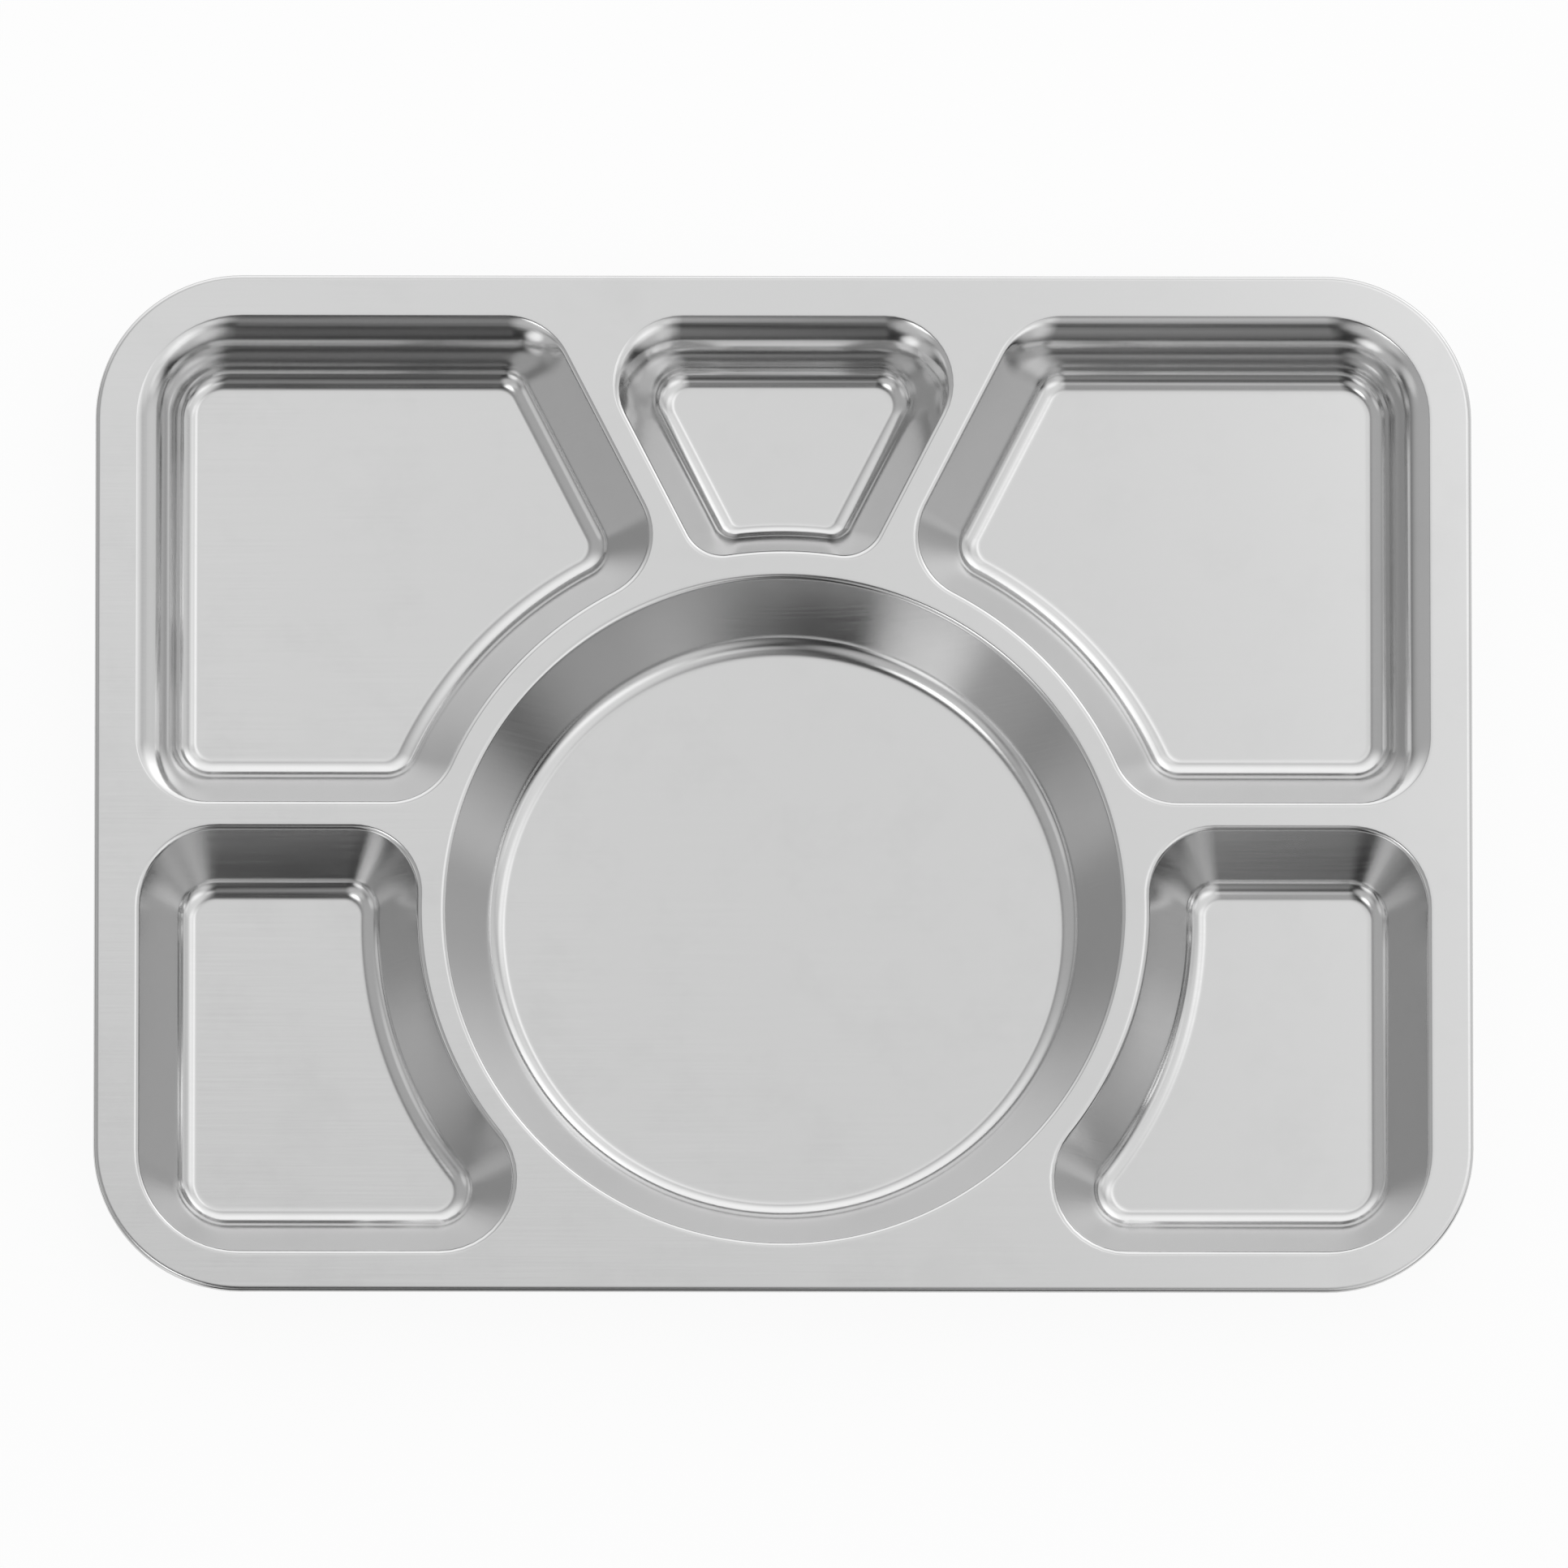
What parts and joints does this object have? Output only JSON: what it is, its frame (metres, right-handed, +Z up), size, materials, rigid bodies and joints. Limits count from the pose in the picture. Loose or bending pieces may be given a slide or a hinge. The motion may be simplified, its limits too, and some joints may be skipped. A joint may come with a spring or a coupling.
{
  "type": "compartment food tray",
  "caption": "Rectangular pressed stainless steel mess tray with rounded corners, a folded edge, a round main well and smaller wells around it that keep servings of food apart.",
  "frame": {"origin": "centre of the tray's outline, on the plane that the undersides of the well floors rest on", "axes": "+X along the tray's width, +Y to the back edge with the three smaller wells in a row, +Z up out of the wells"},
  "size_m": [0.394, 0.296, 0.024],
  "materials": {
    "stainless": "satin, finely brushed along the tray's width"
  },
  "bodies": {
    "root": {"tray_sheet": "stainless"}
  },
  "joints": []
}
